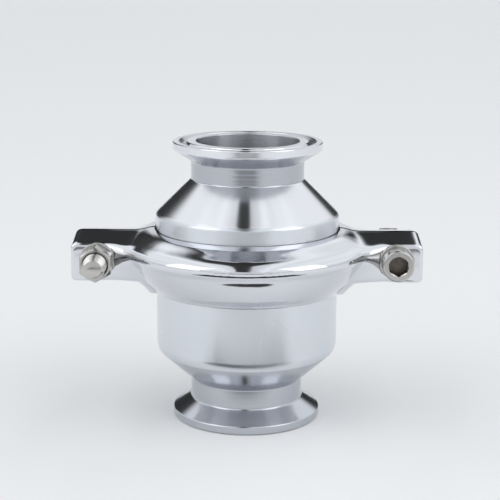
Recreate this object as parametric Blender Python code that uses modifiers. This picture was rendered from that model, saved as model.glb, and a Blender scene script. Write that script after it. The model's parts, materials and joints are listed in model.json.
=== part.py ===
"""Sanitary in-line spring check valve, 1.5 inch, with ferrule ends and a two-bolt body clamp.

The flow axis is Z. The origin is the centre of the inlet ferrule's face, and the valve stands on
that face. The clamp's ears point along X and its screws run along Y. Lengths below are in
millimetres and are turned into metres by MM when a mesh is made.
"""
import math

import bmesh
import bpy

MM = 0.001
SIDES = 40                      # facets round the large turned pieces
SMALL_SIDES = 20                # facets round stems, screws and washers
GAP = 0.3                       # clearance between pieces that touch on the real valve

# Ferrules and necks, for 1.5 inch tube (38.1 mm outside, 34.8 mm bore)
TUBE_R = 19.05
BORE_R = 17.4
FERRULE_R = 25.25
FERRULE_RIM = 2.6
FERRULE_BEVEL_TOP = 6.6
GROOVE_R = 21.75                # middle of the gasket groove in the ferrule's face
GROOVE_HALF = 1.35
GROOVE_DEPTH = 1.3
HEIGHT = 95.1

# Lower body
LOWER_CONE_Z = 13.4
LOWER_CONE_EDGE = (29.9, 23.3)
BODY_R = 30.8
BODY_ROUND_R = 6.0              # rounding between the cylinder and the crisp edge of the cone
CHAMBER_R = 27.0
WALL = 3.0
SPIDER_STEP_Z = 52.6
SPIDER_SEAT_R = 28.4

# Upper body
COLLAR_R = 31.05
COLLAR_TOP = 71.35
UPPER_CONE_R = 30.3
UPPER_NECK_Z = 82.4

# Body flanges, squeezed together by the clamp
FLANGE_R = 37.0
FLANGE_RIM = 2.0
FLANGE_SLOPE = 0.387            # rise of the flange's bevel for each mm of radius
LOWER_FLANGE_TOP = 57.3
GASKET_THICK = 1.4
UPPER_FLANGE_BOTTOM = LOWER_FLANGE_TOP + GASKET_THICK + 2 * GAP

# Clamp
CLAMP_TOP = 65.5
CLAMP_BOTTOM = 44.6
CLAMP_PARTING = 0.8             # half of the gap between the two halves
CLAMP_OUTER = ((31.9, 65.5), (34.6, 64.9), (38.0, 63.3), (41.6, 61.6), (43.1, 59.9), (43.1, 58.3),
               (41.0, 56.2), (39.9, 54.2), (37.9, 51.4), (35.3, 48.3), (33.2, 46.2), (32.0, 44.6))
EAR_END = 58.6
EAR_BOTTOM = 49.3
EAR_TOP_FRONT = 62.4
EAR_TOP_PARTING = 64.5
EAR_DEPTH = 13.0
EAR_FILLET_R = 8.0
EAR_FILLET_X = 41.5
EAR_ROOT = 34.0
EAR_CORNER_R = 2.0

# Clamp screws, nuts and washers
SCREW_X = 49.6
SCREW_Z = 56.7
SCREW_R = 3.9
SCREW_HOLE_R = 4.5
HEAD_R = 5.25
CAP_HEAD_HEIGHT = 5.8           # right screw, its head in front
BUTTON_HEAD_HEIGHT = 3.0        # left screw, its low head behind
BUTTON_HEAD_R = 4.9
SOCKET_FLATS = 5.9
CAP_SOCKET_DEPTH = 3.8
BUTTON_SOCKET_DEPTH = 1.8
THREAD_PROUD_FRONT = 6.2        # thread that shows past the nut in front
THREAD_PROUD_REAR = 1.2
FRONT_WASHER = (5.9, 1.6)       # outer radius and thickness
REAR_WASHER = (5.2, 0.8)
FRONT_NUT = (10.2, 6.4)         # size across flats and height
REAR_NUT = (10.4, 2.8)

# Plug, stem, spring and guide
STEM_R = 4.0
STEM_BOTTOM = 9.2
STEM_TOP = 66.0
PLUG_R = 21.8
PLUG_TOP = 23.5
O_RING_R = 18.15
O_RING_Z = 18.7
O_RING_WIRE = 1.3
RETAINER_BOTTOM = 15.3
RETAINER_TOP = 17.1
STEM_NUT_FLATS = 13.0
STEM_NUT_HEIGHT = 5.0
LIFT = 9.0
BUSH_BOTTOM = 52.0
BUSH_TOP = 58.6
BUSH_R = 5.4
HUB_R = 9.0
SPIDER_BOTTOM = SPIDER_STEP_Z + GAP
SPIDER_TOP = UPPER_FLANGE_BOTTOM - GAP
SPIDER_RING_INNER = 25.2
ARM_WIDTH = 3.6
SPRING_R = 7.4
SPRING_WIRE = 0.6
SPRING_TURNS = 6
SPRING_POINTS_PER_TURN = 12

STEEL_SATIN = ("satin_steel", (0.72, 0.74, 0.78), 0.30, 1.0)
STEEL_POLISHED = ("polished_steel", (0.80, 0.81, 0.84), 0.10, 1.0)
STEEL_FASTENER = ("fastener_steel", (0.70, 0.67, 0.62), 0.25, 1.0)
STEEL_SPRING = ("spring_steel", (0.62, 0.63, 0.65), 0.28, 1.0)
RUBBER = ("seal_rubber", (0.03, 0.03, 0.035), 0.60, 0.0)
POLYMER = ("bush_polymer", (0.88, 0.87, 0.82), 0.45, 0.0)


def clear_scene():
    for obj in list(bpy.data.objects):
        bpy.data.objects.remove(obj, do_unlink=True)


def new_collection(name):
    collection = bpy.data.collections.new(name)
    bpy.context.scene.collection.children.link(collection)
    return collection


clear_scene()
VALVE = new_collection("check_valve")
CUTTERS = new_collection("cutters")


def own_material(obj, look):
    """Give the object a material of its own, with the look's colour, roughness and metallic."""
    kind, colour, roughness, metallic = look
    material = bpy.data.materials.new(f"{obj.name}_{kind}")
    material.use_nodes = True
    shader = material.node_tree.nodes["Principled BSDF"]
    shader.inputs["Base Color"].default_value = (*colour, 1.0)
    shader.inputs["Roughness"].default_value = roughness
    shader.inputs["Metallic"].default_value = metallic
    obj.data.materials.append(material)


def add_object(name, data, look=None):
    """Add an object as a part with a look, or as a hidden cutter when it has none."""
    obj = bpy.data.objects.new(name, data)
    if look is None:
        CUTTERS.objects.link(obj)
        obj.hide_render = True
        obj.display_type = "WIRE"
        return obj
    VALVE.objects.link(obj)
    own_material(obj, look)
    return obj


def turned(name, profile, look=None, sides=SIDES, closed=True):
    """Turn (radius, height) points about Z. An open profile starts and ends on the axis."""
    mesh = bpy.data.meshes.new(name)
    count = len(profile)
    edges = [(i, i + 1) for i in range(count - 1)]
    if closed:
        edges.append((count - 1, 0))
    mesh.from_pydata([(r * MM, 0.0, z * MM) for r, z in profile], edges, [])
    obj = add_object(name, mesh, look)
    screw = obj.modifiers.new("turn", "SCREW")
    screw.axis = "Z"
    screw.angle = math.tau
    screw.steps = sides
    screw.render_steps = sides
    screw.use_merge_vertices = True
    screw.merge_threshold = 0.00001
    screw.use_smooth_shade = False
    return obj


def prism(name, sides, radius, low, high, look=None):
    """A straight prism or cylinder about Z, with a flat side facing +X when it has six sides."""
    bm = bmesh.new()
    bmesh.ops.create_cone(bm, cap_ends=True, segments=sides, radius1=radius * MM, radius2=radius * MM,
                          depth=(high - low) * MM)
    bmesh.ops.translate(bm, verts=bm.verts, vec=(0.0, 0.0, (high + low) / 2 * MM))
    mesh = bpy.data.meshes.new(name)
    bm.to_mesh(mesh)
    bm.free()
    return add_object(name, mesh, look)


def block(name, low, high):
    """A box between two corners, used as a cutter."""
    bm = bmesh.new()
    bmesh.ops.create_cube(bm, size=1.0)
    size = [(b - a) * MM for a, b in zip(low, high)]
    middle = [(b + a) / 2 * MM for a, b in zip(low, high)]
    bmesh.ops.scale(bm, verts=bm.verts, vec=size)
    bmesh.ops.translate(bm, verts=bm.verts, vec=middle)
    mesh = bpy.data.meshes.new(name)
    bm.to_mesh(mesh)
    bm.free()
    return add_object(name, mesh)


def combine(obj, other, operation):
    modifier = obj.modifiers.new(operation.lower(), "BOOLEAN")
    modifier.operation = operation
    modifier.solver = "EXACT"
    modifier.object = other


def holder(name, location):
    """An empty on a moving body's joint axis."""
    empty = bpy.data.objects.new(name, None)
    empty.location = [value * MM for value in location]
    VALVE.objects.link(empty)
    return empty


def arc(centre, radius, start, end, steps):
    """Points along an arc, with its angles in degrees."""
    angles = [math.radians(start + (end - start) * i / steps) for i in range(steps + 1)]
    return [(centre[0] + radius * math.cos(a), centre[1] + radius * math.sin(a)) for a in angles]


def flange_bevel(radius, offset):
    """Height of the bevel below a body flange's rim, at this radius, moved out by offset."""
    return FLANGE_RIM + offset + (FLANGE_R - radius) * FLANGE_SLOPE


def ferrule(face, inward):
    """Face, gasket groove and rim of an end ferrule, from the bore out to the neck."""
    return [(BORE_R, face), (GROOVE_R - GROOVE_HALF, face),
            (GROOVE_R - GROOVE_HALF * 0.5, face + inward * GROOVE_DEPTH),
            (GROOVE_R + GROOVE_HALF * 0.5, face + inward * GROOVE_DEPTH),
            (GROOVE_R + GROOVE_HALF, face), (FERRULE_R - 0.4, face), (FERRULE_R, face + inward * 0.4),
            (FERRULE_R, face + inward * FERRULE_RIM), (TUBE_R, face + inward * FERRULE_BEVEL_TOP)]


def cone_offset():
    """How far the inner wall of a cone lies inside its outer wall, measured along the radius."""
    slope = (LOWER_CONE_EDGE[0] - TUBE_R) / (LOWER_CONE_EDGE[1] - LOWER_CONE_Z)
    return slope, WALL * math.sqrt(1 + slope * slope)


def seat_radius(height):
    """Radius of the conical seat inside the lower body at a height."""
    slope, inset = cone_offset()
    return TUBE_R + slope * (height - LOWER_CONE_Z) - inset


def seat_height(radius):
    slope, inset = cone_offset()
    return LOWER_CONE_Z + (radius - TUBE_R + inset) / slope


def make_lower_body():
    middle_r = BODY_R - BODY_ROUND_R
    sweep = math.acos((LOWER_CONE_EDGE[0] - middle_r) / BODY_ROUND_R)
    middle_z = LOWER_CONE_EDGE[1] + BODY_ROUND_R * math.sin(sweep)
    rounding = arc((middle_r, middle_z), BODY_ROUND_R, 0, -math.degrees(sweep), 4)
    flange_foot = LOWER_FLANGE_TOP - flange_bevel(BODY_R, 0.0)
    outer = [(SPIDER_SEAT_R, LOWER_FLANGE_TOP), (FLANGE_R, LOWER_FLANGE_TOP),
             (FLANGE_R, LOWER_FLANGE_TOP - FLANGE_RIM), (BODY_R, flange_foot)]
    outer += rounding + [(TUBE_R, LOWER_CONE_Z)]
    end = list(reversed(ferrule(0.0, 1.0)))
    inner = [(BORE_R, seat_height(BORE_R)), (CHAMBER_R, seat_height(CHAMBER_R)),
             (CHAMBER_R, SPIDER_STEP_Z), (SPIDER_SEAT_R, SPIDER_STEP_Z)]
    return turned("lower_body", outer + end + inner, STEEL_SATIN)


def make_upper_body():
    slope = (UPPER_CONE_R - TUBE_R) / (UPPER_NECK_Z - COLLAR_TOP)
    inset = WALL * math.sqrt(1 + slope * slope)
    inner_top = UPPER_NECK_Z - (BORE_R - TUBE_R + inset) / slope
    inner_foot = UPPER_NECK_Z - (CHAMBER_R - TUBE_R + inset) / slope
    flange_head = UPPER_FLANGE_BOTTOM + flange_bevel(COLLAR_R, 0.0)
    outer = [(TUBE_R, UPPER_NECK_Z), (UPPER_CONE_R, COLLAR_TOP), (COLLAR_R, COLLAR_TOP - 0.9),
             (COLLAR_R, flange_head), (FLANGE_R, UPPER_FLANGE_BOTTOM + FLANGE_RIM),
             (FLANGE_R, UPPER_FLANGE_BOTTOM), (CHAMBER_R, UPPER_FLANGE_BOTTOM)]
    inner = [(CHAMBER_R, inner_foot), (BORE_R, inner_top)]
    return turned("upper_body", ferrule(HEIGHT, -1.0) + outer + inner, STEEL_SATIN)


def make_gasket():
    low = LOWER_FLANGE_TOP + GAP
    high = low + GASKET_THICK
    inner = SPIDER_SEAT_R + GAP
    outer = FLANGE_R - 1.0
    turned("body_gasket", [(inner, high), (outer, high), (outer, low), (inner, low)], RUBBER)


def ear_outline(side):
    """The ear seen from the front, on the side +1 or -1, with its root inside the ring."""
    fillet = arc((EAR_FILLET_X, EAR_BOTTOM - EAR_FILLET_R), EAR_FILLET_R, 154, 90, 5)
    corner = arc((EAR_END - EAR_CORNER_R, EAR_TOP_FRONT - EAR_CORNER_R), EAR_CORNER_R, 0, 90, 3)
    low_corner = [(EAR_END - 1.2, EAR_BOTTOM), (EAR_END - 0.3, EAR_BOTTOM + 1.0)]
    points = fillet + low_corner + corner + [(EAR_ROOT, EAR_TOP_FRONT)]
    return [(side * x, z) for x, z in points]


def make_ear(name, side, front):
    """One ear as a drafted prism: its outline on the outer face, taller at the parting plane."""
    outer_face = front * EAR_DEPTH
    inner_face = -front * 2.0
    bm = bmesh.new()
    verts = [bm.verts.new((x * MM, outer_face * MM, z * MM)) for x, z in ear_outline(side)]
    face = bm.faces.new(verts)
    grown = bmesh.ops.extrude_face_region(bm, geom=[face])["geom"]
    draft = (EAR_TOP_PARTING - EAR_TOP_FRONT) * MM
    for vert in (item for item in grown if isinstance(item, bmesh.types.BMVert)):
        vert.co.y = inner_face * MM
        if vert.co.z > SCREW_Z * MM:
            vert.co.z += draft
    bmesh.ops.recalc_face_normals(bm, faces=bm.faces)
    mesh = bpy.data.meshes.new(name)
    bm.to_mesh(mesh)
    bm.free()
    obj = add_object(name, mesh)
    bevel = obj.modifiers.new("soft_edges", "BEVEL")
    bevel.width = 1.6 * MM
    bevel.segments = 2
    bevel.limit_method = "ANGLE"
    bevel.angle_limit = math.radians(60)
    return obj


def make_clamp_half(name, front):
    """A clamp half on the -Y side (front = -1) or the +Y side (front = 1)."""
    ring = [(0.0, CLAMP_TOP), *CLAMP_OUTER, (0.0, CLAMP_BOTTOM)]
    half = turned(name, ring, STEEL_POLISHED, closed=False)
    for side in (-1, 1):
        combine(half, make_ear(f"{name}_ear_{side}", side, front), "UNION")
    lower_lip_r = BODY_R + 0.45
    upper_lip_r = COLLAR_R + 0.45
    groove_r = FLANGE_R + 0.4
    offset = 0.35
    cavity = [(0.0, CLAMP_TOP + 2), (upper_lip_r, CLAMP_TOP + 2),
              (upper_lip_r, UPPER_FLANGE_BOTTOM + flange_bevel(upper_lip_r, offset)),
              (groove_r, UPPER_FLANGE_BOTTOM + flange_bevel(groove_r, offset)),
              (groove_r, LOWER_FLANGE_TOP - flange_bevel(groove_r, offset)),
              (lower_lip_r, LOWER_FLANGE_TOP - flange_bevel(lower_lip_r, offset)),
              (lower_lip_r, CLAMP_BOTTOM - 2), (0.0, CLAMP_BOTTOM - 2)]
    combine(half, turned(f"{name}_cavity", cavity, closed=False), "DIFFERENCE")
    for side in (-1, 1):
        hole = prism(f"{name}_hole_{side}", SMALL_SIDES, SCREW_HOLE_R, -30, 30)
        hole.location = (side * SCREW_X * MM, 0.0, SCREW_Z * MM)
        hole.rotation_euler = (math.radians(90), 0.0, 0.0)
        combine(half, hole, "DIFFERENCE")
    near = front * CLAMP_PARTING
    far = front * 60
    keep = block(f"{name}_keep", (-70, min(near, far), 40), (70, max(near, far), 70))
    combine(half, keep, "INTERSECT")


def make_screw_set(side, head_side):
    """A clamp screw, its nut and two washers. The head faces -Y when head_side is -1."""
    label = "right" if side > 0 else "left"
    in_front = head_side < 0
    axis = holder(f"{label}_screw_axis", (side * SCREW_X, 0.0, SCREW_Z))
    axis.rotation_euler = (math.radians(-90 * head_side), 0.0, 0.0)
    head_washer, nut_washer = (FRONT_WASHER, REAR_WASHER) if in_front else (REAR_WASHER, FRONT_WASHER)
    flats, nut_height = REAR_NUT if in_front else FRONT_NUT
    under_head = EAR_DEPTH + head_washer[1] + 2 * GAP
    nut_top = -(EAR_DEPTH + nut_washer[1] + 2 * GAP)
    nut_bottom = nut_top - nut_height
    tip = nut_bottom - (THREAD_PROUD_REAR if in_front else THREAD_PROUD_FRONT)
    if in_front:
        head_top = under_head + CAP_HEAD_HEIGHT
        head = [(HEAD_R - 0.6, head_top), (HEAD_R, head_top - 0.6), (HEAD_R, under_head)]
        socket_depth = CAP_SOCKET_DEPTH
    else:
        head_top = under_head + BUTTON_HEAD_HEIGHT
        head = [(3.6, head_top), (4.5, head_top - 1.0), (BUTTON_HEAD_R, head_top - 2.2),
                (BUTTON_HEAD_R, under_head)]
        socket_depth = BUTTON_SOCKET_DEPTH
    shank = [(SCREW_R, under_head), (SCREW_R, tip + 0.9), (SCREW_R - 0.9, tip), (0.0, tip)]
    screw = turned(f"clamp_screw_{label}", [(0.0, head_top), *head, *shank], STEEL_FASTENER, SMALL_SIDES,
                   closed=False)
    socket = prism(f"socket_{label}", 6, SOCKET_FLATS / math.sqrt(3), head_top - socket_depth, head_top + 2)
    combine(screw, socket, "DIFFERENCE")
    nut = prism(f"clamp_nut_{label}", 6, flats / math.sqrt(3), nut_bottom, nut_top, STEEL_FASTENER)
    if in_front:
        nut.rotation_euler = (0.0, 0.0, math.radians(30))
    thread = prism(f"nut_bore_{label}", SMALL_SIDES, SCREW_R + GAP, -40, 0)
    combine(nut, thread, "DIFFERENCE")
    pieces = [screw, socket, nut, thread]
    for place, direction, (radius, thick) in (("screw", 1, head_washer), ("nut", -1, nut_washer)):
        near = direction * (EAR_DEPTH + GAP)
        far = direction * (EAR_DEPTH + GAP + thick)
        low, high = min(near, far), max(near, far)
        bore = SCREW_R + GAP
        ring = [(bore, high), (radius, high), (radius, low), (bore, low)]
        pieces.append(turned(f"{place}_washer_{label}", ring, STEEL_FASTENER, SMALL_SIDES))
    for piece in pieces:
        piece.parent = axis


def make_plug():
    """The plug disc, its O-ring, retainer, stem, nut and lift-stop sleeve, seated and closed."""
    axis = holder("plug_axis", (0.0, 0.0, 0.0))
    bore = STEM_R + GAP
    ledge = O_RING_Z + O_RING_WIRE + GAP
    core = O_RING_R - O_RING_WIRE - GAP
    rim = PLUG_TOP - 1.0
    flank_top = rim - 1.2
    disc = turned("plug_disc", [
        (bore, PLUG_TOP), (HUB_R, PLUG_TOP), (HUB_R + 1, rim), (PLUG_R - 0.6, rim), (PLUG_R, rim - 0.6),
        (PLUG_R, flank_top), (seat_radius(ledge) - 2 * GAP, ledge), (core, ledge),
        (core, RETAINER_TOP + GAP), (bore, RETAINER_TOP + GAP)], STEEL_SATIN)
    retainer = turned("seal_retainer", [
        (bore, RETAINER_TOP), (seat_radius(RETAINER_TOP) - 2 * GAP, RETAINER_TOP),
        (BORE_R - 3 * GAP, seat_height(BORE_R) - 0.2), (BORE_R - 6 * GAP, RETAINER_BOTTOM),
        (bore, RETAINER_BOTTOM)], STEEL_SATIN)
    o_ring = turned("plug_o_ring", arc((O_RING_R, O_RING_Z), O_RING_WIRE, 90, -225, 7), RUBBER)
    stem = turned("plug_stem", [
        (0.0, STEM_TOP), (STEM_R - 0.8, STEM_TOP), (STEM_R, STEM_TOP - 0.8), (STEM_R, STEM_BOTTOM + 0.8),
        (STEM_R - 0.8, STEM_BOTTOM), (0.0, STEM_BOTTOM)], STEEL_SATIN, SMALL_SIDES, closed=False)
    nut_top = RETAINER_BOTTOM - GAP
    nut = prism("retainer_nut", 6, STEM_NUT_FLATS / math.sqrt(3), nut_top - STEM_NUT_HEIGHT, nut_top,
                STEEL_FASTENER)
    thread = prism("retainer_nut_bore", SMALL_SIDES, bore, 0, 30)
    combine(nut, thread, "DIFFERENCE")
    low = PLUG_TOP + GAP
    high = BUSH_BOTTOM - LIFT - GAP
    sleeve = turned("lift_stop_sleeve", [(bore, high), (BUSH_R, high), (BUSH_R, low), (bore, low)],
                    STEEL_SATIN, SMALL_SIDES)
    for piece in (disc, retainer, o_ring, stem, nut, thread, sleeve):
        piece.parent = axis


def make_spider():
    """Ring, hub and four arms that guide the stem, and the polymer bush in the hub."""
    spider = turned("guide_spider", [
        (SPIDER_RING_INNER, SPIDER_TOP), (SPIDER_SEAT_R - GAP, SPIDER_TOP),
        (SPIDER_SEAT_R - GAP, SPIDER_BOTTOM), (SPIDER_RING_INNER, SPIDER_BOTTOM)], STEEL_SATIN)
    middle = turned("spider_hub", [(0.0, SPIDER_TOP), (HUB_R, SPIDER_TOP), (HUB_R, BUSH_BOTTOM),
                                   (0.0, BUSH_BOTTOM)], None, SMALL_SIDES, closed=False)
    reach = (SPIDER_RING_INNER + SPIDER_SEAT_R - GAP) / 2
    half = ARM_WIDTH / 2
    for label, low, high in (("x", (-reach, -half), (reach, half)), ("y", (-half, -reach), (half, reach))):
        arm = block(f"spider_arm_{label}", (*low, SPIDER_BOTTOM + 1.0), (*high, SPIDER_TOP - 1.0))
        combine(spider, arm, "UNION")
    combine(spider, middle, "UNION")
    combine(spider, prism("spider_bore", SMALL_SIDES, BUSH_R + GAP, 40, 70), "DIFFERENCE")
    bore = STEM_R + GAP
    turned("guide_bush", [(bore, BUSH_TOP), (BUSH_R, BUSH_TOP), (BUSH_R, BUSH_BOTTOM), (bore, BUSH_BOTTOM)],
           POLYMER, SMALL_SIDES)


def make_spring():
    """The closing spring, a plain helix between the plug and the spider's hub."""
    low = PLUG_TOP + GAP + SPRING_WIRE
    high = BUSH_BOTTOM - GAP - SPRING_WIRE
    count = SPRING_TURNS * SPRING_POINTS_PER_TURN
    curve = bpy.data.curves.new("closing_spring", "CURVE")
    curve.dimensions = "3D"
    curve.bevel_depth = SPRING_WIRE * MM
    curve.bevel_resolution = 1
    curve.use_fill_caps = True
    spline = curve.splines.new("POLY")
    spline.points.add(count)
    for i, point in enumerate(spline.points):
        angle = math.tau * i / SPRING_POINTS_PER_TURN
        height = low + (high - low) * i / count
        point.co = (SPRING_R * MM * math.cos(angle), SPRING_R * MM * math.sin(angle), height * MM, 1.0)
    add_object("closing_spring", curve, STEEL_SPRING)


make_lower_body()
make_upper_body()
make_gasket()
make_spider()
make_spring()
make_plug()
make_clamp_half("clamp_front_half", -1)
make_clamp_half("clamp_rear_half", 1)
make_screw_set(1, -1)
make_screw_set(-1, 1)
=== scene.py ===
"""The looks of the in-line spring check valve: fine meshes, steel and rubber materials, a studio.

Lengths are in millimetres and become metres by MM when a mesh is made. Z is the flow axis.
"""

import json
import math

import bmesh
import bpy
from mathutils import Matrix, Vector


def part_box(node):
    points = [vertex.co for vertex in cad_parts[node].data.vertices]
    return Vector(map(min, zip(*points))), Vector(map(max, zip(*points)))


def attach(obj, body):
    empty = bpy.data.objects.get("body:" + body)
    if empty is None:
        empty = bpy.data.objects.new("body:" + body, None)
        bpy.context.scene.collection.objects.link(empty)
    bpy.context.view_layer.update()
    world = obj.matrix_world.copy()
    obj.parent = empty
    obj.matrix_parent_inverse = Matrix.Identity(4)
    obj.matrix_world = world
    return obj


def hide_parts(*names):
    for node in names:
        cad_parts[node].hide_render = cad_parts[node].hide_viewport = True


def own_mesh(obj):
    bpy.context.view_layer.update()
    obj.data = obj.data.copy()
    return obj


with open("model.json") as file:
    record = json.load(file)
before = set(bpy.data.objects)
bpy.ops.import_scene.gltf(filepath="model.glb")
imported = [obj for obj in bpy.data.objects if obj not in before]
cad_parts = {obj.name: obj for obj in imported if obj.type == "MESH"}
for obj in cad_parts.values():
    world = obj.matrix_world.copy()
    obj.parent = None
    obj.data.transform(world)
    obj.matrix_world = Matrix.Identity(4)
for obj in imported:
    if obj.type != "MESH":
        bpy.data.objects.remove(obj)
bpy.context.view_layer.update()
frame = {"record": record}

MM = 0.001
RECORD = frame["record"]
BODY_OF = {node: body for body, nodes in RECORD["behaviour"]["bodies"].items() for node in nodes}
SLOT_OF = {part["node"]: part["material_slot"] for part in RECORD["subparts"]}

ROUND = 192                     # segments round the large turned pieces
SMALL_ROUND = 64                # segments round screws, stems and washers

# Ferrules, necks and bodies
TUBE_R = 19.05
BORE_R = 17.4
FERRULE_R = 25.25
FERRULE_RIM = 2.6
FERRULE_BEVEL_TOP = 6.6
GROOVE_R = 21.75
GROOVE_HALF = 1.35
GROOVE_DEPTH = 1.3
HEIGHT = 95.1
LOWER_CONE_Z = 13.4
LOWER_CONE_EDGE_Z = 23.3        # crisp edge where the lower cone's rounding ends
BODY_R = 30.8
BODY_ROUND_R = 6.0
BODY_ROUND_Z = 26.46
BODY_ROUND_TURN = -31.8         # degrees of rounding from the cylinder to the cone
CHAMBER_R = 27.0
SPIDER_SEAT_R = 28.4
SPIDER_STEP_Z = 52.6
SEAT_BOTTOM = 15.95
SEAT_TOP = 24.7
COLLAR_R = 31.05
COLLAR_TOP = 71.35
COLLAR_EDGE = 0.95              # height of the collar's edge under the cone
UPPER_CONE_R = 30.3
UPPER_NECK_Z = 82.4
UPPER_CHAMBER_TOP = 70.5
UPPER_BORE_BOTTOM = 79.85
FLANGE_R = 37.0
FLANGE_RIM = 2.0
FLANGE_SLOPE = 0.387
LOWER_FLANGE_TOP = 57.3
UPPER_FLANGE_BOTTOM = 59.3

# Clamp
CLAMP_PARTING = 0.8
EAR_END = 58.6
EAR_BOTTOM = 49.3
EAR_TOP_FRONT = 62.4
EAR_TOP_PARTING = 64.5
EAR_DEPTH = 13.0
SCREW_X = 49.6
SCREW_Z = 56.7
SCREW_R = 3.9

NOISE_RANGE = (0.2, 0.8)        # the part of a noise's range that spread() uses
PATCHES_PER_M = 30.0            # uneven brushing
RIPPLES_PER_M = 120.0           # waves left by polishing
WIPES_PER_M = 60.0
HANDLING_PER_M = 700.0
GRAIN_PER_M = 2500.0            # matt grain of rubber and polymer
BRUSH_TURN = 0.25               # the highlight runs across the turning marks


# ---------------------------------------------------------------- materials

def node_link(tree, source, target):
    tree.links.new(source, target)


def new_material(name, colour, roughness, metallic):
    material = bpy.data.materials.new(name)
    material.use_nodes = True
    shader = material.node_tree.nodes["Principled BSDF"]
    shader.inputs["Base Color"].default_value = (*colour, 1.0)
    shader.inputs["Roughness"].default_value = roughness
    shader.inputs["Metallic"].default_value = metallic
    return material, material.node_tree, shader


def noise(tree, vector, scale, detail):
    texture = tree.nodes.new("ShaderNodeTexNoise")
    texture.inputs["Scale"].default_value = scale
    texture.inputs["Detail"].default_value = detail
    node_link(tree, vector, texture.inputs["Vector"])
    return texture.outputs["Fac"]


def spread(tree, value, low, high):
    """Map a noise value smoothly onto low to high."""
    ramp = tree.nodes.new("ShaderNodeMapRange")
    ramp.interpolation_type = "SMOOTHSTEP"
    ramp.inputs["From Min"].default_value, ramp.inputs["From Max"].default_value = NOISE_RANGE
    ramp.inputs["To Min"].default_value = low
    ramp.inputs["To Max"].default_value = high
    node_link(tree, value, ramp.inputs["Value"])
    return ramp.outputs["Result"]


def turning_vector(tree):
    """(radius, height, 0): the same all the way round, so a texture on it is turning marks."""
    place = tree.nodes.new("ShaderNodeTexCoord").outputs["Object"]
    split = tree.nodes.new("ShaderNodeSeparateXYZ")
    node_link(tree, place, split.inputs[0])
    flat = tree.nodes.new("ShaderNodeCombineXYZ")
    node_link(tree, split.outputs["X"], flat.inputs["X"])
    node_link(tree, split.outputs["Y"], flat.inputs["Y"])
    radius = tree.nodes.new("ShaderNodeVectorMath")
    radius.operation = "LENGTH"
    node_link(tree, flat.outputs[0], radius.inputs[0])
    both = tree.nodes.new("ShaderNodeCombineXYZ")
    node_link(tree, radius.outputs["Value"], both.inputs["X"])
    node_link(tree, split.outputs["Z"], both.inputs["Y"])
    return both.outputs[0], place


def add_bump(tree, shader, height, depth_mm, strength=1.0):
    bump = tree.nodes.new("ShaderNodeBump")
    bump.inputs["Strength"].default_value = strength
    bump.inputs["Distance"].default_value = depth_mm * MM
    node_link(tree, height, bump.inputs["Height"])
    node_link(tree, bump.outputs["Normal"], shader.inputs["Normal"])


def turned_steel(name, colour, roughness, grain_mm, depth_mm, stretch=0.7):
    """Stainless steel with turning marks round the flow axis and slightly uneven brushing."""
    material, tree, shader = new_material(name, colour, roughness, 1.0)
    rings, place = turning_vector(tree)
    marks = noise(tree, rings, 1.0 / (grain_mm * MM), 3.0)
    add_bump(tree, shader, marks, depth_mm)
    patches = noise(tree, place, PATCHES_PER_M, 0.0)
    node_link(tree, spread(tree, patches, roughness * 0.8, roughness * 1.25), shader.inputs["Roughness"])
    shader.inputs["Anisotropic"].default_value = stretch
    shader.inputs["Anisotropic Rotation"].default_value = BRUSH_TURN
    tangent = tree.nodes.new("ShaderNodeTangent")
    tangent.direction_type = "RADIAL"
    tangent.axis = "Z"
    node_link(tree, tangent.outputs[0], shader.inputs["Tangent"])
    return material


def polished_steel(name, colour, roughness):
    """Mirror-polished pressed steel: slow ripples from polishing and faint wipe marks."""
    material, tree, shader = new_material(name, colour, roughness, 1.0)
    place = tree.nodes.new("ShaderNodeTexCoord").outputs["Object"]
    ripples = noise(tree, place, RIPPLES_PER_M, 1.5)
    add_bump(tree, shader, ripples, 0.10)
    wipes = noise(tree, place, WIPES_PER_M, 4.0)
    node_link(tree, spread(tree, wipes, roughness * 0.6, roughness * 1.5), shader.inputs["Roughness"])
    return material


def fastener_steel(name, colour, roughness):
    """Bright fastener steel with small handling marks."""
    material, tree, shader = new_material(name, colour, roughness, 1.0)
    place = tree.nodes.new("ShaderNodeTexCoord").outputs["Object"]
    marks = noise(tree, place, HANDLING_PER_M, 5.0)
    add_bump(tree, shader, marks, 0.008, 0.6)
    node_link(tree, spread(tree, marks, roughness * 0.7, roughness * 1.4), shader.inputs["Roughness"])
    return material


def soft_material(name, colour, roughness):
    """Moulded rubber or polymer with a fine matt grain."""
    material, tree, shader = new_material(name, colour, roughness, 0.0)
    place = tree.nodes.new("ShaderNodeTexCoord").outputs["Object"]
    grain = noise(tree, place, GRAIN_PER_M, 2.0)
    add_bump(tree, shader, grain, 0.02, 0.5)
    node_link(tree, spread(tree, grain, roughness * 0.85, roughness * 1.15), shader.inputs["Roughness"])
    return material


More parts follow.
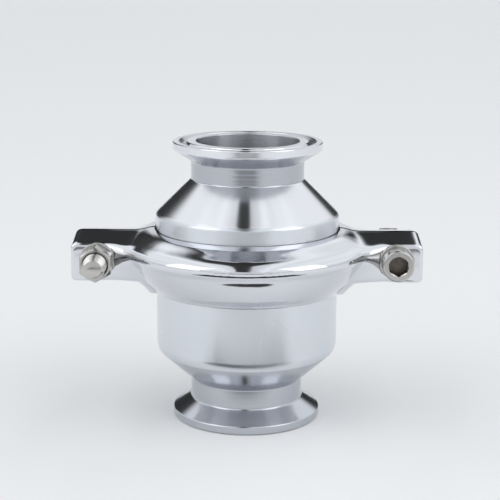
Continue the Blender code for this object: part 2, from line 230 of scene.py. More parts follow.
LOOKS = {
    "satin_steel": turned_steel("satin_turned_steel", (0.72, 0.75, 0.79), 0.26, 0.5, 0.008),
    "fine_steel": turned_steel("finely_turned_steel", (0.50, 0.52, 0.56), 0.20, 0.8, 0.045),
    "bright_steel": turned_steel("bright_turned_steel", (0.80, 0.81, 0.84), 0.16, 0.7, 0.004, 0.85),
    "cone_steel": turned_steel("turned_cone_steel", (0.56, 0.58, 0.62), 0.17, 0.7, 0.012),
    # painted light: the bore's steel is rougher, and its base colour is lightened to stand in for light on
    # the shaded walls inside the bore
    "bore_steel_painted_light": turned_steel("bored_steel_painted_light", (0.66, 0.67, 0.70), 0.30, 0.7, 0.010, 0.85),
    "polished_steel": polished_steel("mirror_steel", (0.74, 0.75, 0.79), 0.07),
    "fastener_steel": fastener_steel("fastener_steel_bright", (0.56, 0.55, 0.53), 0.20),
    # painted shade: dark brown-grey steel for the inside of the screw socket, partly the oxide the socket
    # has and partly the shade that falls in it
    "socket_oxide_and_shade_steel": fastener_steel("socket_steel_oxide_and_painted_shade", (0.16, 0.14, 0.12), 0.45),
    "spring_steel": fastener_steel("spring_wire_steel", (0.62, 0.63, 0.65), 0.24),
    "seal_rubber": soft_material("black_seal_rubber", (0.025, 0.025, 0.028), 0.55),
    "bush_polymer": soft_material("off_white_polymer", (0.82, 0.81, 0.76), 0.42),
}


# ---------------------------------------------------------------- shapes

def place(obj, node, look=None):
    """Put a fine piece in place of its CAD node: its body, its finish and its material."""
    obj.data.materials.clear()
    obj.data.materials.append(LOOKS[look or SLOT_OF[node]])
    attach(obj, BODY_OF[node])
    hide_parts(node)
    return obj


def add_object(name, mesh):
    obj = bpy.data.objects.new(name, mesh)
    bpy.context.scene.collection.objects.link(obj)
    return obj


def arc(centre, radius, start, end, steps):
    angles = [math.radians(start + (end - start) * i / steps) for i in range(steps + 1)]
    return [(centre[0] + radius * math.cos(a), centre[1] + radius * math.sin(a)) for a in angles]


def soften(points, closed=True, steps=4, support=0.12):
    """Round the corners of (radius, height, rounding) points, with a support point on each side."""
    out = []
    count = len(points)
    for i, (x, y, cut) in enumerate(points):
        if cut == 0 or (not closed and i in (0, count - 1)):
            out.append((x, y))
            continue
        ends = []
        for nx, ny, _ in (points[i - 1], points[(i + 1) % count]):
            length = math.hypot(nx - x, ny - y)
            near = min(cut, length * 0.45) / length
            far = min(cut + support, length * 0.48) / length
            ends.append([(x + (nx - x) * f, y + (ny - y) * f) for f in (far, near)])
        (far_a, a), (far_b, b) = ends
        out.append(far_a)
        for k in range(steps + 1):
            t = k / steps
            out.append(tuple((1 - t) ** 2 * p + 2 * t * (1 - t) * q + t * t * r
                             for p, q, r in zip(a, (x, y), b)))
        out.append(far_b)
    return out


def smooth_line(points, per=6):
    """A Catmull-Rom curve through the points."""
    out = []
    padded = [points[0], *points, points[-1]]
    for p0, p1, p2, p3 in zip(padded, padded[1:], padded[2:], padded[3:]):
        for k in range(per):
            t = k / per
            out.append(tuple(0.5 * (2 * b + (c - a) * t + (2 * a - 5 * b + 4 * c - d) * t * t
                                    + (3 * b - a - 3 * c + d) * t ** 3)
                             for a, b, c, d in zip(p0, p1, p2, p3)))
    return [*out, points[-1]]


def lathe(name, profile, closed=True, segments=ROUND):
    """Turn (radius, height) points about Z into a smooth closed mesh."""
    count = len(profile)
    verts = []
    for i in range(segments):
        angle = math.tau * i / segments
        c, s = math.cos(angle), math.sin(angle)
        verts += [(r * c * MM, r * s * MM, z * MM) for r, z in profile]
    steps = count if closed else count - 1
    faces = []
    for i in range(segments):
        here, there = i * count, (i + 1) % segments * count
        for j in range(steps):
            n = (j + 1) % count
            faces.append((here + j, there + j, there + n, here + n))
    mesh = bpy.data.meshes.new(name)
    mesh.from_pydata(verts, [], faces)
    bm = bmesh.new()
    bm.from_mesh(mesh)
    bmesh.ops.remove_doubles(bm, verts=bm.verts, dist=0.001 * MM)
    bmesh.ops.recalc_face_normals(bm, faces=bm.faces)
    bm.to_mesh(mesh)
    bm.free()
    mesh.shade_smooth()
    return add_object(name, mesh)


def apply_modifiers(obj):
    """Replace the object's mesh with its evaluated one and drop its modifiers."""
    graph = bpy.context.evaluated_depsgraph_get()
    mesh = bpy.data.meshes.new_from_object(obj.evaluated_get(graph))
    obj.modifiers.clear()
    obj.data = mesh


def cut(obj, other, operation="DIFFERENCE"):
    """Apply a Boolean of obj with other, and remove the other object."""
    modifier = obj.modifiers.new("cut", "BOOLEAN")
    modifier.operation = operation
    modifier.solver = "EXACT"
    modifier.object = other
    apply_modifiers(obj)
    bpy.data.objects.remove(other, do_unlink=True)


def hex_prism(name, flats, low, high):
    bm = bmesh.new()
    radius = flats / math.sqrt(3) * MM
    bmesh.ops.create_cone(bm, cap_ends=True, segments=6, radius1=radius, radius2=radius,
                          depth=(high - low) * MM)
    bmesh.ops.translate(bm, verts=bm.verts, vec=(0, 0, (low + high) / 2 * MM))
    mesh = bpy.data.meshes.new(name)
    bm.to_mesh(mesh)
    bm.free()
    return add_object(name, mesh)


# ---------------------------------------------------------------- bodies

def ferrule(face, inward):
    """Face with its gasket groove and inner lip, and the rim, as corners with roundings."""
    half = GROOVE_HALF
    return [(BORE_R, face, 0.3), (GROOVE_R - half, face, 0.25),
            (GROOVE_R - half * 0.5, face + inward * GROOVE_DEPTH, 0.4),
            (GROOVE_R + half * 0.5, face + inward * GROOVE_DEPTH, 0.4),
            (GROOVE_R + half, face, 0.25), (FERRULE_R, face, 0.45),
            (FERRULE_R, face + inward * FERRULE_RIM, 0.35), (TUBE_R, face + inward * FERRULE_BEVEL_TOP, 0.5)]


def finish_zones(obj, zones):
    """Give each stretch of height its own finish, and the inside of the bore a rougher steel whose lighter
    colour is painted light on the bore's shaded walls.
    """
    mesh = obj.data
    names = [name for name, _, _ in zones]
    mesh.materials.clear()
    for name in [*names, "bore_steel_painted_light"]:
        mesh.materials.append(LOOKS[name])
    for face in mesh.polygons:
        x, y, z = (value / MM for value in face.center)
        normal = face.normal
        radius = math.hypot(x, y)
        inward = normal.x * x + normal.y * y < -0.05 * radius
        # inner faces of the bore get the rougher steel, with painted light in its lighter colour
        if inward and radius < 28.0:
            face.material_index = len(names)
            continue
        for i, (_, low, high) in enumerate(zones):
            if low <= z < high:
                face.material_index = i


def make_bodies():
    foot = LOWER_FLANGE_TOP - FLANGE_RIM - (FLANGE_R - BODY_R) * FLANGE_SLOPE
    turn = arc((BODY_R - BODY_ROUND_R, BODY_ROUND_Z), BODY_ROUND_R, 0, BODY_ROUND_TURN, 10)
    rounding = [(r, z, 0) for r, z in turn]
    lower = [(SPIDER_SEAT_R, LOWER_FLANGE_TOP, 0.2), (FLANGE_R, LOWER_FLANGE_TOP, 0.3),
             (FLANGE_R, LOWER_FLANGE_TOP - FLANGE_RIM, 0.3), (BODY_R, foot, 0.4), *rounding,
             (TUBE_R, LOWER_CONE_Z, 0.35), *reversed(ferrule(0.0, 1.0)),
             (BORE_R, SEAT_BOTTOM, 0.5), (CHAMBER_R, SEAT_TOP, 0.8), (CHAMBER_R, SPIDER_STEP_Z, 0.2),
             (SPIDER_SEAT_R, SPIDER_STEP_Z, 0.2)]
    lower_body = place(lathe("lower_body_turned", soften(lower)), "lower_body")
    finish_zones(lower_body, (("cone_steel", -1.0, LOWER_CONE_EDGE_Z),
                              ("satin_steel", LOWER_CONE_EDGE_Z, 60.0)))
    head = UPPER_FLANGE_BOTTOM + FLANGE_RIM + (FLANGE_R - COLLAR_R) * FLANGE_SLOPE
    upper = [*ferrule(HEIGHT, -1.0), (TUBE_R, UPPER_NECK_Z, 0.35), (UPPER_CONE_R, COLLAR_TOP, 0.5),
             (COLLAR_R, COLLAR_TOP - COLLAR_EDGE, 0.5), (COLLAR_R, head, 0.4),
             (FLANGE_R, UPPER_FLANGE_BOTTOM + FLANGE_RIM, 0.3), (FLANGE_R, UPPER_FLANGE_BOTTOM, 0.3),
             (CHAMBER_R, UPPER_FLANGE_BOTTOM, 0.2), (CHAMBER_R, UPPER_CHAMBER_TOP, 0.8),
             (BORE_R, UPPER_BORE_BOTTOM, 0.6)]
    upper_body = place(lathe("upper_body_turned", soften(upper)), "upper_body")
    finish_zones(upper_body, (("satin_steel", 55.0, 71.2), ("bright_steel", 71.2, 82.3),
                              ("fine_steel", 82.3, 92.0), ("bright_steel", 92.0, 96.0)))


# ---------------------------------------------------------------- clamp

RING_TOP = 65.5
RING_BOTTOM = 44.75
RING_OUTER = ((32.2, 65.45), (34.6, 64.9), (38.0, 63.4), (41.3, 61.9), (43.0, 60.0), (42.9, 58.1),
              (41.2, 56.3), (39.9, 54.2), (37.9, 51.4), (35.3, 48.3), (33.2, 46.2), (32.1, 44.8))
EAR_ROOT = 34.0
EAR_FILLET_R = 8.0
EAR_FILLET_X = 41.5
EAR_END_R = 1.5                 # roundings of the ear's lower and upper corners
EAR_CORNER_R = 2.2
CAVITY_GAP = 0.45               # from the clamp's cavity to the bodies
CAVITY_FLANGE_GAP = 0.4
CAVITY_BEVEL = 2.35             # height of the cavity's bevels at the flange's radius
SCREW_HOLE_R = 4.5
KEEP_BOX = (150.0, 60.0, 40.0)  # a box round one half of the clamp, which cuts it from the other
KEEP_Z = 55.0
VOXEL = 0.45
EVEN_STEPS = 16                 # smoothing steps over the whole clamp, and round the ear roots
ROOT_STEPS = 120
ROOT_X = 41.0                   # middle of the ear roots


def skin(name, loops):
    """A closed mesh through loops of (x, y, z) points, with a face over each end."""
    bm = bmesh.new()
    rings = [[bm.verts.new([value * MM for value in point]) for point in loop] for loop in loops]
    for first, second in zip(rings, rings[1:]):
        for k in range(len(first)):
            n = (k + 1) % len(first)
            bm.faces.new((first[k], first[n], second[n], second[k]))
    bm.faces.new(rings[0])
    bm.faces.new(list(reversed(rings[-1])))
    bmesh.ops.recalc_face_normals(bm, faces=bm.faces)
    mesh = bpy.data.meshes.new(name)
    bm.to_mesh(mesh)
    bm.free()
    return add_object(name, mesh)


def ear_outline(side):
    """The ear seen from the front, on the side +1 or -1."""
    end = arc((EAR_END - EAR_END_R, EAR_BOTTOM + EAR_END_R), EAR_END_R, -80, 0, 5)
    corner = arc((EAR_END - EAR_CORNER_R, EAR_TOP_FRONT - EAR_CORNER_R), EAR_CORNER_R, 0, 90, 6)
    points = [(EAR_ROOT, EAR_BOTTOM), *end, *corner, (EAR_ROOT, EAR_TOP_FRONT)]
    return [(side * x, z) for x, z in points]


def ear_underside():
    """The hollow fillet under the ears, turned about Z so that it runs out into the ring's skirt."""
    fillet = arc((EAR_FILLET_X, EAR_BOTTOM - EAR_FILLET_R), EAR_FILLET_R, 154, 90, 14)
    top = EAR_BOTTOM + 2.0
    inner = 20.0
    turned = lathe("ear_underside", [(inner, fillet[0][1]), *fillet, (EAR_FILLET_X, top), (inner, top)])
    reach, half_width = EAR_DEPTH - 1.0, 50.0
    low, high = EAR_BOTTOM - 9.0, top + 1.0
    sides = [(-half_width, low), (half_width, low), (half_width, high), (-half_width, high)]
    cut(turned, ear_block(sides, [(-reach, 0.0), (reach, 0.0)]), "INTERSECT")
    return turned


def ear_block(outline, stations):
    """A block through (Y, rise of its top) stations, for both halves of the clamp at once."""
    return skin("ear_block", [[(x, y, z + (rise if z > SCREW_Z else 0.0)) for x, z in outline]
                              for y, rise in stations])


def smooth_part(obj, name, weight_of, times):
    """Smooth the vertices where weight_of(x, y, z) in millimetres is above zero."""
    group = obj.vertex_groups.new(name=name)
    for vert in obj.data.vertices:
        x, y, z = (value / MM for value in vert.co)
        weight = weight_of(x, y, z)
        if weight > 0:
            group.add([vert.index], weight, "REPLACE")
    smooth = obj.modifiers.new(name, "SMOOTH")
    smooth.factor = 0.5
    smooth.iterations = times
    smooth.vertex_group = name
    apply_modifiers(obj)
    obj.vertex_groups.clear()


def ear_root_weight(x, y, z):
    """High where the ears run into the ring, fading out to both sides."""
    return max(0.0, min(1.0, 1.8 - abs(abs(x) - ROOT_X) / 5.0))


WEB_LEVELS = ((EAR_BOTTOM + 0.1, 35.9), (54.0, 39.5), (58.5, 42.7), (EAR_TOP_FRONT - 0.3, 41.2))
WEB_ANGLE = 27.0                # where the web meets the ring, degrees from the X axis
WEB_REACH = 47.0                # where it meets the ear's front


def root_web(side):
    """A web between ring and ears that smoothing turns into their sweeping fillet."""
    turn = math.radians(WEB_ANGLE)
    loops = []
    for z, r in WEB_LEVELS:
        x, y = r * math.cos(turn), r * math.sin(turn)
        corners = [(x, -y), (WEB_REACH, -EAR_DEPTH), (WEB_REACH, EAR_DEPTH), (x, y)]
        loops.append([(side * px, py, z) for px, py in corners])
    return skin("root_web", loops)


def cavity_outline():
    """What the clamp leaves free: the flanges' groove, and room for the bodies above and below."""
    low_r, high_r, groove_r = BODY_R + CAVITY_GAP, COLLAR_R + CAVITY_GAP, FLANGE_R + CAVITY_FLANGE_GAP

    def above(r):
        return UPPER_FLANGE_BOTTOM + CAVITY_BEVEL + (FLANGE_R - r) * FLANGE_SLOPE

    def below(r):
        return LOWER_FLANGE_TOP - CAVITY_BEVEL - (FLANGE_R - r) * FLANGE_SLOPE

    top, bottom = RING_TOP + 2.5, RING_BOTTOM - 2.75
    return [(0.0, top), (high_r, top), (high_r, above(high_r)), (groove_r, above(groove_r)),
            (groove_r, below(groove_r)), (low_r, below(low_r)), (low_r, bottom), (0.0, bottom)]


def screw_place(side, angle):
    """The place of a clamp screw, turned about X by an angle from Z."""
    at = Matrix.Translation((side * SCREW_X * MM, 0, SCREW_Z * MM))
    return at @ Matrix.Rotation(angle, 4, "X")


def make_clamp():
    ring = [(0.0, RING_TOP), *smooth_line(RING_OUTER), (0.0, RING_BOTTOM)]
    whole = lathe("clamp_blank", ring, closed=False)
    rise = EAR_TOP_PARTING - EAR_TOP_FRONT
    for side in (-1, 1):
        cut(whole, ear_block(ear_outline(side), [(-EAR_DEPTH, 0.0), (0.0, rise), (EAR_DEPTH, 0.0)]), "UNION")
        cut(whole, root_web(side), "UNION")
    cut(whole, ear_underside(), "UNION")
    remesh = whole.modifiers.new("remesh", "REMESH")
    remesh.mode = "VOXEL"
    remesh.voxel_size = VOXEL * MM
    remesh.use_smooth_shade = True
    apply_modifiers(whole)
    smooth_part(whole, "all", lambda x, y, z: 1.0, EVEN_STEPS)
    smooth_part(whole, "roots", ear_root_weight, ROOT_STEPS)
    cut(whole, lathe("cavity", cavity_outline(), closed=False))
    for side in (-1, 1):
        reach = 30.0
        hole = [(0.0, reach), (SCREW_HOLE_R, reach), (SCREW_HOLE_R, -reach), (0.0, -reach)]
        drill = lathe("hole", hole, False, SMALL_ROUND)
        drill.matrix_world = screw_place(side, math.pi / 2)
        cut(whole, drill)
    for front, word in ((-1, "front"), (1, "rear")):
        half = add_object(f"clamp_{word}_pressed", whole.data.copy())
        bm = bmesh.new()
        bmesh.ops.create_cube(bm, size=1.0)
        bmesh.ops.scale(bm, verts=bm.verts, vec=[size * MM for size in KEEP_BOX])
        middle = front * (KEEP_BOX[1] / 2 + CLAMP_PARTING)
        bmesh.ops.translate(bm, verts=bm.verts, vec=(0, middle * MM, KEEP_Z * MM))
        box = bpy.data.meshes.new("keep")
        bm.to_mesh(box)
        bm.free()
        cut(half, add_object("keep", box), "INTERSECT")
        half.data.shade_smooth()
        half.data.set_sharp_from_angle(angle=math.radians(38))
        place(half, f"clamp_{word}_half")
    bpy.data.objects.remove(whole, do_unlink=True)


# ---------------------------------------------------------------- fasteners

HEAD_R = 5.25
CAP_HEAD_HEIGHT = 5.8           # right screw, its head in front
BUTTON_HEAD_HEIGHT = 3.0        # left screw, its low head behind
BUTTON_HEAD_R = 4.9
BUTTON_OUTLINE = ((3.6, 0.0, 0.3), (4.5, 1.0, 0.8), (BUTTON_HEAD_R, 2.2, 0.5))  # radius, depth, rounding
SOCKET_FLATS = 5.9
CAP_SOCKET_DEPTH = 3.8
BUTTON_SOCKET_DEPTH = 1.8
THREAD_PROUD_FRONT = 6.2        # thread that shows past the nut in front
THREAD_PROUD_REAR = 1.2
THREAD_START = -6.4
THREAD_PITCH = 1.25
THREAD_DEPTH = 0.55
FRONT_WASHER = (5.9, 1.6)       # outer radius and thickness
REAR_WASHER = (5.2, 0.8)
WASHER_BORE_R = 4.2
FRONT_NUT = (10.2, 6.4)         # size across flats and height
REAR_NUT = (10.4, 2.8)
GAP = 0.3


def thread(top, bottom):
    """The ridges of a thread, from top down to bottom."""
    turns = int((top - bottom) / THREAD_PITCH)
    points = []
    for i in range(turns):
        z = top - i * THREAD_PITCH
        root = SCREW_R - THREAD_DEPTH
        points += [(SCREW_R, z), (SCREW_R, z - 0.18 * THREAD_PITCH),
                   (root, z - 0.5 * THREAD_PITCH), (root, z - 0.62 * THREAD_PITCH)]
    return points


def chamfered_hex(name, flats, low, high, bore):
    """A hex nut with turned chamfers on both ends and a bore."""
    nut = hex_prism(name, flats, low, high)
    corner = flats / math.sqrt(3)
    side = flats / 2
    drop = (corner - side) * 0.6
    face = side * 0.97
    shape = [(0, high), (face, high), (corner, high - drop), (corner, low + drop), (face, low), (0, low)]
    cut(nut, lathe("chamfer", shape, False, SMALL_ROUND), "INTERSECT")
    mouth = bore + 1.3
    hole = [(0, high + 1), (mouth, high + 1), (bore, high - 0.4),
            (bore, low + 0.4), (mouth, low - 1), (0, low - 1)]
    cut(nut, lathe("bore", hole, False, SMALL_ROUND))
    nut.data.shade_smooth()
    nut.data.set_sharp_from_angle(angle=math.radians(25))
    bevel = nut.modifiers.new("edges", "BEVEL")
    bevel.width = 0.12 * MM
    bevel.segments = 2
    bevel.limit_method = "ANGLE"
    bevel.angle_limit = math.radians(25)
    return nut


def make_screw_set(side, head_side):
    """A clamp screw, its nut and its washers. The head faces -Y when head_side is -1."""
    label = "right" if side > 0 else "left"
    in_front = head_side < 0
    turn = screw_place(side, math.radians(-90 * head_side))
    head_washer, nut_washer = (FRONT_WASHER, REAR_WASHER) if in_front else (REAR_WASHER, FRONT_WASHER)
    flats, nut_height = REAR_NUT if in_front else FRONT_NUT
    under = EAR_DEPTH + head_washer[1] + 2 * GAP
    nut_top = -(EAR_DEPTH + nut_washer[1] + 2 * GAP)
    nut_bottom = nut_top - nut_height
    tip = nut_bottom - (THREAD_PROUD_REAR if in_front else THREAD_PROUD_FRONT)
    if in_front:
        top, depth = under + CAP_HEAD_HEIGHT, CAP_SOCKET_DEPTH
        head = [(0, top, 0), (HEAD_R, top, 0.6), (HEAD_R, under, 0.25)]
    else:
        top, depth = under + BUTTON_HEAD_HEIGHT, BUTTON_SOCKET_DEPTH
        crown = [(r, top - drop, cut_back) for r, drop, cut_back in BUTTON_OUTLINE]
        head = [(0, top, 0), *crown, (BUTTON_HEAD_R, under, 0.25)]
    head = soften([*head, (SCREW_R, under, 0.2), (SCREW_R, THREAD_START + 0.4, 0)], closed=False)
    ridges = thread(THREAD_START, tip + 1.1)
    point = [(SCREW_R - 0.1, tip + 0.9), (SCREW_R - 0.95, tip + 0.1), (SCREW_R - 1.15, tip), (0, tip)]
    screw = lathe(f"clamp_screw_{label}_fine", [*head, *ridges, *point], False, SMALL_ROUND)
    cut(screw, hex_prism("socket", SOCKET_FLATS, top - depth, top + 1))
    mouth_r = SOCKET_FLATS / 2 + 0.05
    mouth = [(0, top + 1), (mouth_r + 1.35, top + 1), (mouth_r, top - 0.35), (0, top - 0.35)]
    cut(screw, lathe("mouth", mouth, False, SMALL_ROUND))
    # the socket's inner faces, which get the dark steel: partly oxide, partly painted shade
    shaded_socket_faces = [face.index for face in screw.data.polygons
              if face.center.z > (top - depth - 0.1) * MM and face.center.z < (top - 0.36) * MM
              and math.hypot(face.center.x, face.center.y) < (SOCKET_FLATS / math.sqrt(3) + 0.1) * MM]
    screw.data.shade_smooth()
    screw.data.set_sharp_from_angle(angle=math.radians(30))
    nut = chamfered_hex(f"clamp_nut_{label}_fine", flats, nut_bottom, nut_top, SCREW_R + 0.1)
    if in_front:
        nut.data.transform(Matrix.Rotation(math.radians(30), 4, "Z"))
    pieces = [(screw, f"clamp_screw_{label}"), (nut, f"clamp_nut_{label}")]
    for kind, direction, (radius, thick) in (("screw", 1, head_washer), ("nut", -1, nut_washer)):
        near, far = direction * (EAR_DEPTH + GAP), direction * (EAR_DEPTH + GAP + thick)
        low, high = min(near, far), max(near, far)
        corners = [(WASHER_BORE_R, high, 0.12), (radius, high, 0.25), (radius, low, 0.2),
                   (WASHER_BORE_R, low, 0.12)]
        washer = lathe(f"{kind}_washer_{label}_fine", soften(corners), True, SMALL_ROUND)
        pieces.append((washer, f"{kind}_washer_{label}"))
    for piece, node in pieces:
        piece.data.transform(turn)
        place(piece, node)
    # dark steel on the socket's inside: partly oxide, partly painted shade
    screw.data.materials.append(LOOKS["socket_oxide_and_shade_steel"])
    for index in shaded_socket_faces:
        screw.data.polygons[index].material_index = 1


# ---------------------------------------------------------------- inside

STEM_R = 4.0
STEM_BOTTOM = 9.2
STEM_TOP = 66.0
BODY_GASKET_BORE_R = 28.7
PLUG_R = 21.8
PLUG_TOP = 23.5
PLUG_SEAT_Z = 20.3              # underside of the plug's rim, on the seal
PLUG_HUB_R = 16.55
O_RING_R = 18.15
O_RING_Z = 18.7
O_RING_WIRE = 1.29
RETAINER_BOTTOM = 15.3
RETAINER_TOP = 17.1
STEM_NUT = (13.0, 10.0, 15.0)   # size across flats, bottom and top
SPRING_R = 7.4
SPRING_WIRE = 0.6
SPRING_TURNS = 8


def ring_from_box(node, inner, rounding, look=None):
    """A fine plain ring of the size of its CAD node."""
    low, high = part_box(node)
    outer = high[0] / MM
    bottom, top = low[2] / MM, high[2] / MM
    corners = [(r, z, rounding) for r, z in ((inner, top), (outer, top), (outer, bottom), (inner, bottom))]
    place(lathe(f"{node}_fine", soften(corners), True, ROUND // 2), node, look)


def make_inside():
    bore = STEM_R + 0.3
    ring_from_box("body_gasket", BODY_GASKET_BORE_R, 0.3)
    ring_from_box("guide_bush", bore, 0.25)
    ring_from_box("lift_stop_sleeve", bore, 0.25)
    disc = [(bore, PLUG_TOP, 0.2), (9.0, PLUG_TOP, 0.3), (10.0, 22.5, 0.5), (PLUG_R, 22.5, 0.4),
            (PLUG_R, 21.3, 0.3), (PLUG_R - 0.4, PLUG_SEAT_Z, 0.2), (PLUG_HUB_R, PLUG_SEAT_Z, 0.2),
            (PLUG_HUB_R, RETAINER_TOP + 0.3, 0.1), (bore, RETAINER_TOP + 0.3, 0.1)]
    place(lathe("plug_disc_fine", soften(disc)), "plug_disc")
    retainer = [(bore, RETAINER_TOP, 0.1), (18.0, RETAINER_TOP, 0.2), (16.5, 15.75, 0.2),
                (15.6, RETAINER_BOTTOM, 0.3), (bore, RETAINER_BOTTOM, 0.1)]
    place(lathe("seal_retainer_fine", soften(retainer)), "seal_retainer")
    place(lathe("plug_o_ring_fine", arc((O_RING_R, O_RING_Z), O_RING_WIRE, 0, 345, 23)), "plug_o_ring")
    stem = [(0, STEM_TOP, 0), (STEM_R, STEM_TOP, 0.8), (STEM_R, STEM_BOTTOM, 0.8), (0, STEM_BOTTOM, 0)]
    stem_fine = lathe("plug_stem_fine", soften(stem, closed=False), False, SMALL_ROUND)
    place(stem_fine, "plug_stem", "bright_steel")
    nut = chamfered_hex("retainer_nut_fine", *STEM_NUT, STEM_R + 0.15)
    place(nut, "retainer_nut")
    spider = bpy.data.objects["guide_spider"]
    spider.data.materials.clear()
    spider.data.materials.append(LOOKS["satin_steel"])
    make_spring()


def make_spring():
    """The closing spring with closed end turns, squeezed by the plug's lift."""
    low, high = (corner[2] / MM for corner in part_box("closing_spring"))
    low, high = low + SPRING_WIRE, high - SPRING_WIRE
    per = 40
    turns = SPRING_TURNS
    count = turns * per
    curve = bpy.data.curves.new("spring_path", "CURVE")
    curve.dimensions = "3D"
    curve.bevel_depth = SPRING_WIRE * MM
    curve.bevel_resolution = 4
    curve.use_fill_caps = True
    spline = curve.splines.new("POLY")
    spline.points.add(count)
    closed_rise = 2.0 * SPRING_WIRE + 0.1
    for i, point in enumerate(spline.points):
        turn = i / per
        rise = min(turn, 1.0) * closed_rise
        rise += max(0.0, turn - (turns - 1)) * closed_rise
        middle = min(max(turn - 1.0, 0.0), turns - 2.0) / (turns - 2.0)
        z = low + rise + middle * (high - low - 2 * closed_rise)
        angle = math.tau * turn
        point.co = (SPRING_R * MM * math.cos(angle), SPRING_R * MM * math.sin(angle), z * MM, 1.0)
    wire = add_object("spring_wire", curve)
    graph = bpy.context.evaluated_depsgraph_get()
    mesh = bpy.data.meshes.new_from_object(wire.evaluated_get(graph))
    bpy.data.objects.remove(wire, do_unlink=True)
    mesh.shade_smooth()
    spring = place(add_object("closing_spring_fine", mesh), "closing_spring")
    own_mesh(spring)


# ---------------------------------------------------------------- studio

CAMERA_DISTANCE = 0.4518        # metres from the valve's axis
CAMERA_SIDE = 0.00098
CAMERA_HEIGHT = 0.1577
CAMERA_PITCH = 12.51            # degrees down
CAMERA_ROLL = 0.38
CAMERA_LENS = 97.64             # mm, on a sensor SENSOR mm wide
SENSOR = 36.0


def make_camera():
    data = bpy.data.cameras.new("camera")
    data.lens = CAMERA_LENS
    data.sensor_width = SENSOR
    camera = bpy.data.objects.new("camera", data)
    tilt = Matrix.Rotation(math.radians(90 - CAMERA_PITCH), 4, "X")
    roll = Matrix.Rotation(math.radians(CAMERA_ROLL), 4, "Z")
    camera.matrix_world = Matrix.Translation((CAMERA_SIDE, -CAMERA_DISTANCE, CAMERA_HEIGHT)) @ tilt @ roll
    bpy.context.scene.collection.objects.link(camera)
    bpy.context.scene.camera = camera


def math_node(tree, operation, first, second):
    node = tree.nodes.new("ShaderNodeMath")
    node.operation = operation
    node.use_clamp = False
    for socket, value in zip(node.inputs, (first, second)):
        if isinstance(value, (int, float)):
            socket.default_value = value
        else:
            node_link(tree, value, socket)
    return node.outputs[0]


def band(tree, value, middle, half, edge):
    """1 inside middle plus or minus half, fading to 0 over edge."""
    away = math_node(tree, "ABSOLUTE", math_node(tree, "SUBTRACT", value, middle), 0)
    step = tree.nodes.new("ShaderNodeMapRange")
    step.interpolation_type = "SMOOTHSTEP"
    step.inputs["From Min"].default_value = half - edge
    step.inputs["From Max"].default_value = half + edge
    step.inputs["To Min"].default_value = 1.0
    step.inputs["To Max"].default_value = 0.0
    node_link(tree, away, step.inputs["Value"])
    return step.outputs["Result"]


def patch(tree, values, bands):
    """The product of one band for each value: a soft-edged patch of the world."""
    product = 1.0
    for value, (middle, half, edge) in zip(values, bands):
        product = math_node(tree, "MULTIPLY", product, band(tree, value, middle, half, edge))
    return product


# Bands are (middle, half width, soft edge) along a direction's x, y or z
OVERHEAD = ((0.0, 1.0, 0.25), (1.0, 0.68, 0.08))                        # across the gap, and z
OVERHEAD_LEFT = 0.05            # how far the gap sits to the left
OVERHEAD_WIDTH = (0.09, 0.22)   # its least and greatest half width
OVERHEAD_FAN = (0.42, 0.30)     # it fans out towards +Y, from minus the first, by the second
CARD_LEFT = ((-0.42, 0.22, 0.05), (1.0, 0.55, 0.06), (0.1, 0.45, 0.08))     # x, y, z
CARD_RIGHT = ((0.36, 0.17, 0.05), (1.0, 0.28, 0.06), (0.0, 0.32, 0.08))     # x, y, z
SOFTBOX = ((0.60, 0.42, 0.10), (0.75, 0.40, 0.12))                      # x either side, and z
DARKNESS = 0.95
SOFTBOX_GAIN = 0.30
MIRROR_LOSS = 0.10              # reflections see the studio a little darker than the floor does
WALL_BANDS = (7.0, 0.74, 1.0)   # scale of the walls' slow bands, and their darkest and lightest


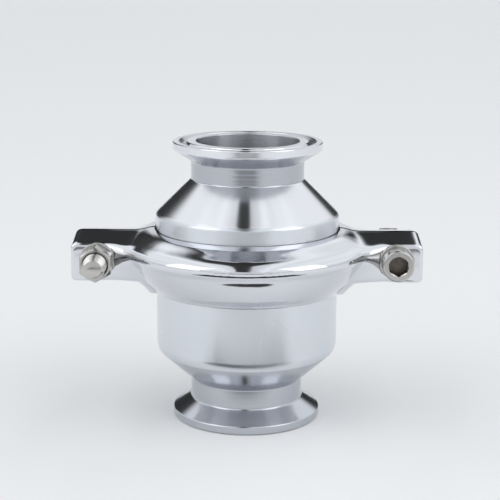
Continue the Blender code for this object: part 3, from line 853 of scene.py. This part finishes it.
def make_world():
    """A white studio with a dark gap overhead, two dark cards towards +Y, and slow bands."""
    world = bpy.data.worlds.new("studio")
    world.use_nodes = True
    bpy.context.scene.world = world
    tree = world.node_tree
    tree.nodes.clear()
    direction = tree.nodes.new("ShaderNodeTexCoord").outputs["Generated"]
    split = tree.nodes.new("ShaderNodeSeparateXYZ")
    node_link(tree, direction, split.inputs[0])
    x, y, z = (split.outputs[name] for name in "XYZ")
    side = math_node(tree, "ABSOLUTE", x, 0)
    fan_start, fan_rate = OVERHEAD_FAN
    width = math_node(tree, "MULTIPLY", math_node(tree, "ADD", y, fan_start), fan_rate)
    width = math_node(tree, "MAXIMUM", OVERHEAD_WIDTH[0], width)
    width = math_node(tree, "MINIMUM", width, OVERHEAD_WIDTH[1])
    across = math_node(tree, "DIVIDE", math_node(tree, "ADD", x, OVERHEAD_LEFT), width)
    overhead = patch(tree, (across, z), OVERHEAD)
    left = patch(tree, (x, y, z), CARD_LEFT)
    right = patch(tree, (x, y, z), CARD_RIGHT)
    dark = math_node(tree, "MAXIMUM", overhead, math_node(tree, "MAXIMUM", left, right))
    light = math_node(tree, "SUBTRACT", 1.0, math_node(tree, "MULTIPLY", dark, DARKNESS))
    only_side = tree.nodes.new("ShaderNodeCombineXYZ")
    node_link(tree, x, only_side.inputs["X"])
    scale, darkest, lightest = WALL_BANDS
    bands = noise(tree, only_side.outputs[0], scale, 2.0)
    light = math_node(tree, "MULTIPLY", light, spread(tree, bands, darkest, lightest))
    softbox = patch(tree, (side, z), SOFTBOX)
    gain = math_node(tree, "ADD", 1.0, math_node(tree, "MULTIPLY", softbox, SOFTBOX_GAIN))
    light = math_node(tree, "MULTIPLY", light, gain)
    mirrored = tree.nodes.new("ShaderNodeLightPath").outputs["Is Glossy Ray"]
    loss = math_node(tree, "SUBTRACT", 1.0, math_node(tree, "MULTIPLY", mirrored, MIRROR_LOSS))
    light = math_node(tree, "MULTIPLY", light, loss)
    background = tree.nodes.new("ShaderNodeBackground")
    background.inputs["Color"].default_value = (0.95, 0.975, 1.0, 1.0)
    node_link(tree, light, background.inputs["Strength"])
    output = tree.nodes.new("ShaderNodeOutputWorld")
    node_link(tree, background.outputs[0], output.inputs["Surface"])


def reflection_card(name, place_at, size, grey):
    """A dark card that only reflections see, as photographers use to draw edges on bright metal."""
    bpy.ops.mesh.primitive_plane_add(size=1.0, location=[value * MM for value in place_at])
    card = bpy.context.object
    card.name = name
    card.scale = (size[0] * MM, size[1] * MM, 1.0)
    card.data.materials.append(new_material(name, (grey, grey * 0.95, grey * 0.95), 0.9, 0.0)[0])
    card.visible_camera = False
    card.visible_diffuse = False
    card.visible_shadow = False


def add_light(name, place_at, size, power, aim=(0, 0, 0.055)):
    data = bpy.data.lights.new(name, "AREA")
    data.shape = "RECTANGLE"
    data.size, data.size_y = size
    data.energy = power
    light = bpy.data.objects.new(name, data)
    light.location = place_at
    to_aim = Matrix.Translation(place_at).inverted() @ Matrix.Translation(aim)
    light.rotation_euler = to_aim.translation.to_track_quat("-Z", "Y").to_euler()
    bpy.context.scene.collection.objects.link(light)


def make_studio():
    bpy.ops.mesh.primitive_plane_add(size=30.0, location=(0, 0, -0.0002))
    floor = bpy.context.object
    floor.name = "floor"
    floor.data.materials.append(new_material("pale_floor", (0.93, 0.93, 0.93), 0.9, 0.0)[0])
    make_world()
    reflection_card("table_card", (4, -70, 1.5), (120, 40), 0.03)
    reflection_card("front_card", (-15, -520, 1.5), (360, 480), 0.22)
    for label, light_x in (("left", -0.75), ("right", 0.75)):
        add_light(f"softbox_{label}", (light_x, -0.45, 0.60), (0.6, 0.8), 1.2)
    bpy.context.scene.view_settings.view_transform = "Standard"


make_bodies()
make_clamp()
for screw_side, screw_head in ((1, -1), (-1, 1)):
    make_screw_set(screw_side, screw_head)
make_inside()
make_camera()
make_studio()
